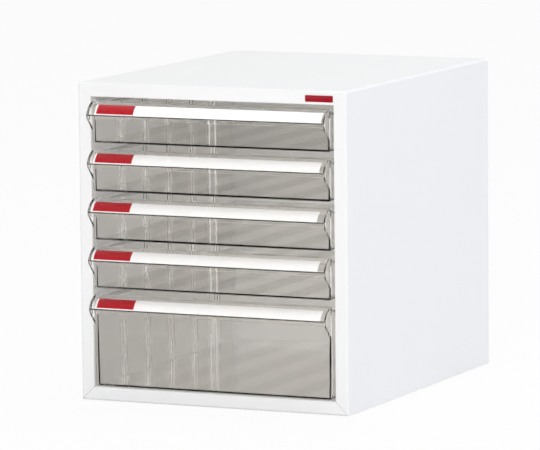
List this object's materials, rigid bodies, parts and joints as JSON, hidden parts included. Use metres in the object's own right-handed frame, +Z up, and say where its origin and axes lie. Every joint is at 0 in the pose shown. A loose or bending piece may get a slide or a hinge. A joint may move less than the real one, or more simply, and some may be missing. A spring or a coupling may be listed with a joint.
{
  "type": "desktop drawer unit",
  "caption": "Desktop drawer unit: a white folded steel casing with stacked clear plastic drawers, each with a curved label hood that is its pull lip.",
  "frame": {"origin": "centre of the bounding box at floor level, under the feet", "axes": "+X to the right seen from the front, +Y from the drawer fronts to the back, +Z up"},
  "size_m": [0.27, 0.3544, 0.298],
  "materials": {
    "white_steel": "powder coat, semi-gloss",
    "clear_plastic": "clear, polished",
    "white_card": "matt card",
    "red_tab": "printed red",
    "red_badge": "gloss red",
    "rubber": "matt"
  },
  "bodies": {
    "cabinet": {"cabinet_shell": "white_steel", "base_panel": "white_steel", "rear_panel": "white_steel", "feet": "rubber", "badge_plate": "red_badge", "left_front_upright": "white_steel", "left_rear_upright": "white_steel", "left_rail_1": "white_steel", "left_rail_2": "white_steel", "left_rail_3": "white_steel", "left_rail_4": "white_steel", "left_rail_5": "white_steel", "right_front_upright": "white_steel", "right_rear_upright": "white_steel", "right_rail_1": "white_steel", "right_rail_2": "white_steel", "right_rail_3": "white_steel", "right_rail_4": "white_steel", "right_rail_5": "white_steel"},
    "drawer_1": {"drawer_1": "clear_plastic", "label_card_1": "white_card", "index_tab_1": "red_tab"},
    "drawer_2": {"drawer_2": "clear_plastic", "label_card_2": "white_card", "index_tab_2": "red_tab"},
    "drawer_3": {"drawer_3": "clear_plastic", "label_card_3": "white_card", "index_tab_3": "red_tab"},
    "drawer_4": {"drawer_4": "clear_plastic", "label_card_4": "white_card", "index_tab_4": "red_tab"},
    "drawer_5": {"drawer_5": "clear_plastic", "label_card_5": "white_card", "index_tab_5": "red_tab"}
  },
  "joints": [
    {"name": "drawer_1_slide", "type": "slide", "parent": "cabinet", "child": "drawer_1", "axis": [0, -1, 0], "range_m": [0, 0.24]},
    {"name": "drawer_2_slide", "type": "slide", "parent": "cabinet", "child": "drawer_2", "axis": [0, -1, 0], "range_m": [0, 0.24]},
    {"name": "drawer_3_slide", "type": "slide", "parent": "cabinet", "child": "drawer_3", "axis": [0, -1, 0], "range_m": [0, 0.24]},
    {"name": "drawer_4_slide", "type": "slide", "parent": "cabinet", "child": "drawer_4", "axis": [0, -1, 0], "range_m": [0, 0.24]},
    {"name": "drawer_5_slide", "type": "slide", "parent": "cabinet", "child": "drawer_5", "axis": [0, -1, 0], "range_m": [0, 0.24]}
  ]
}
